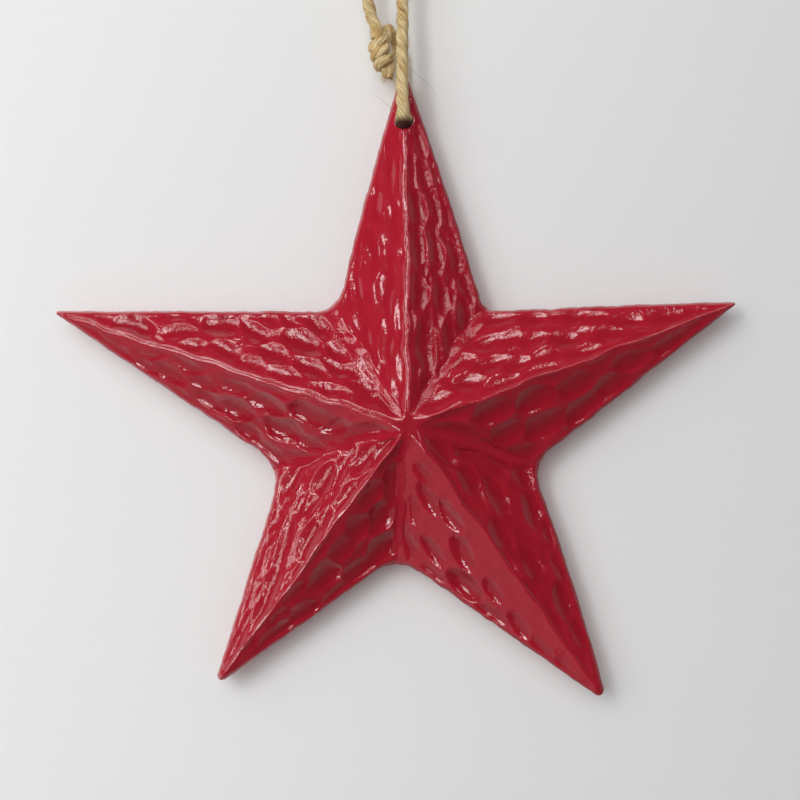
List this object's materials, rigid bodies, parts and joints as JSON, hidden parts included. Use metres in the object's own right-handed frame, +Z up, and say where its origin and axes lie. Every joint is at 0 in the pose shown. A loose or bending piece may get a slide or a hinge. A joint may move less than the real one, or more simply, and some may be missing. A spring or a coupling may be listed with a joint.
{
  "type": "carved star hanging ornament",
  "caption": "Hand-carved wooden star ornament with a gouged, enamelled front and flat back, hung through a drilled arm on a knotted loop of jute twine.",
  "frame": {"origin": "the hanging point: the inside of the twine loop's top, where a hook or nail holds it", "axes": "+Z up, +X to the viewer's right, -Y out of the carved front, +Y out of the flat back"},
  "size_m": [0.1762, 0.0277, 0.2434],
  "materials": {
    "red_enamel": "glossy",
    "jute": "matte"
  },
  "bodies": {
    "hanger": {"hanging_loop": "jute", "knot_lead": "jute", "knot": "jute", "knot_end_front": "jute", "knot_end_back": "jute"},
    "sling": {"twine_sling": "jute"},
    "star": {"star_body": "red_enamel"}
  },
  "joints": [
    {"name": "star_tilt", "type": "hinge", "parent": "hanger", "child": "sling", "pos_m": [-0.0004, -0.00475, -0.0788], "axis": [-1, 0, 0], "range_deg": [0, 45]},
    {"name": "star_rock", "type": "hinge", "parent": "sling", "child": "star", "pos_m": [0, 0, -0.092], "axis": [0, 1, 0], "range_deg": [-75, 75]}
  ]
}
